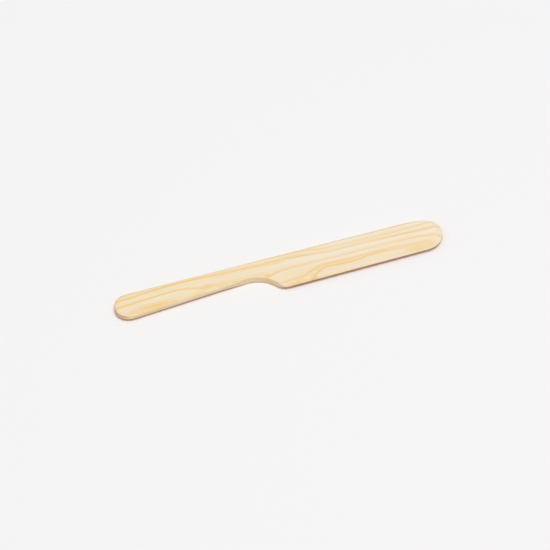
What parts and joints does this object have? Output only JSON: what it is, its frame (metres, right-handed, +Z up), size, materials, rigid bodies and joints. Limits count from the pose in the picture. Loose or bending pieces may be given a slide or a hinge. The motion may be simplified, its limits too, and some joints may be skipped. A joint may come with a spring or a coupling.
{
  "type": "bone folder",
  "caption": "One-piece wooden paper folder shaped like a blunt knife: round-ended handle, finger notch and a bevelled creasing blade with a round tip.",
  "frame": {"origin": "under the middle of the tool's box, on the face that it rests on", "axes": "+X along the tool from the handle's butt to the blade's tip, +Y across it from the creasing edge to the straight spine, +Z up through the thickness"},
  "size_m": [0.1702, 0.0216, 0.0036],
  "materials": {
    "softwood": "bare pale softwood, fine-sanded, flat-sawn growth rings, no varnish"
  },
  "bodies": {
    "root": {"folder_body": "softwood"}
  },
  "joints": []
}
